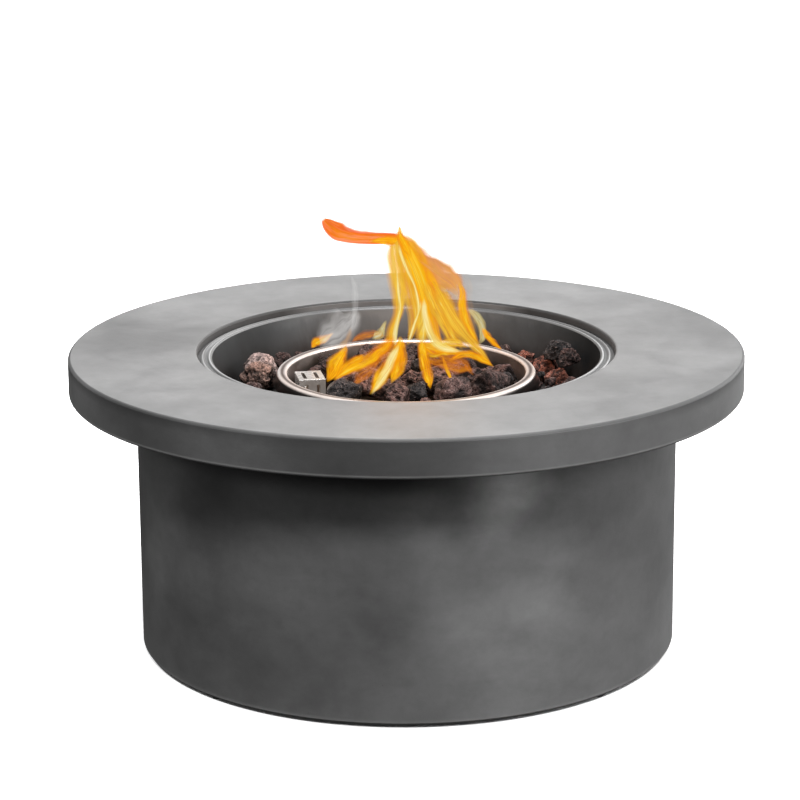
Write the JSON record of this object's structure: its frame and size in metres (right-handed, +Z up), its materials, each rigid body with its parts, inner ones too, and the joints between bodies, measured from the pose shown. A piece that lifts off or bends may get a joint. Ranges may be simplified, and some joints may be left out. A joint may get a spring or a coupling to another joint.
{
  "type": "gas fire pit table",
  "caption": "Low round concrete-look gas fire table: wide flat top overhanging a plain drum, steel bowl and bright burner pan filled with lava rock.",
  "frame": {"origin": "middle of the round footprint, on the floor that the rubber feet stand on", "axes": "+Z up, +Y to the rear where the knob, the igniter and the gas inlet are, +X to the right seen from the front (from -Y)"},
  "size_m": [0.7099, 0.71, 0.318],
  "materials": {
    "concrete": "matt cast fibre-cement, sealed, with soft cloudy shading",
    "rubber": "matt",
    "zinc_steel": "zinc plated, dull",
    "brass": "machined, slightly dulled",
    "bowl_steel": "pressed steel, bright near the rim and sooty towards the floor",
    "pan_steel": "bright stainless, slightly heat tinted",
    "burner_steel": "stainless, heat tinted",
    "ceramic": "white unglazed alumina",
    "copper": "copper pipe, dulled",
    "silicone": "silicone sleeve",
    "panel_steel": "horizontal brushed stainless",
    "knob_plastic": "heat-resistant moulded plastic, fine grain",
    "button_plastic": "moulded, glossy",
    "chrome": "polished",
    "battery_case": "plain sleeve",
    "lava_dark": "porous lava rock, charcoal and brown",
    "lava_red": "porous lava rock, red-brown and pink-grey"
  },
  "bodies": {
    "root": {"tabletop": "concrete", "base_drum": "concrete", "rubber_feet": "rubber", "top_brackets": "zinc_steel", "bracket_bolts": "zinc_steel", "threaded_inserts": "brass", "fire_bowl": "bowl_steel", "burner_pan": "pan_steel", "burner_ring": "burner_steel", "mixer_tube": "burner_steel", "burner_locknut": "zinc_steel", "gas_jet": "brass", "pan_bolts": "zinc_steel", "shield_spacers": "zinc_steel", "heat_shield": "zinc_steel", "shield_nuts": "zinc_steel", "igniter_cage": "pan_steel", "probe_platform": "zinc_steel", "electrode_ceramic": "ceramic", "electrode_tip": "burner_steel", "flame_sensor": "copper", "sensor_lead": "copper", "sensor_nut": "brass", "spark_lead": "silicone", "control_plate": "panel_steel", "plate_screws": "zinc_steel", "gas_valve": "brass", "valve_screws": "zinc_steel", "knob_bezel": "chrome", "igniter_housing": "knob_plastic", "igniter_nut": "knob_plastic", "igniter_battery": "battery_case", "gas_inlet_union": "brass", "inlet_washers": "rubber", "inlet_locknut": "brass", "inlet_pipe": "copper", "burner_pipe": "copper", "flare_nuts": "brass", "lava_rocks_pan": "lava_dark", "lava_rocks_bowl": "lava_red", "lava_chips": "lava_dark"},
    "washer": {"push_washer": "zinc_steel"},
    "knob": {"control_knob": "knob_plastic", "valve_stem": "zinc_steel"},
    "button": {"igniter_button": "button_plastic"}
  },
  "joints": [
    {"name": "knob_push", "type": "slide", "parent": "root", "child": "washer", "axis": [0, -1, 0], "range_m": [0, 0.004], "stiffness_N_per_m": 1500},
    {"name": "knob_turn", "type": "hinge", "parent": "washer", "child": "knob", "pos_m": [0.034, 0.28, 0.165], "axis": [0, 1, 0], "range_deg": [0, 180]},
    {"name": "igniter_press", "type": "slide", "parent": "root", "child": "button", "axis": [0, -1, 0], "range_m": [0, 0.004], "stiffness_N_per_m": 1500}
  ]
}
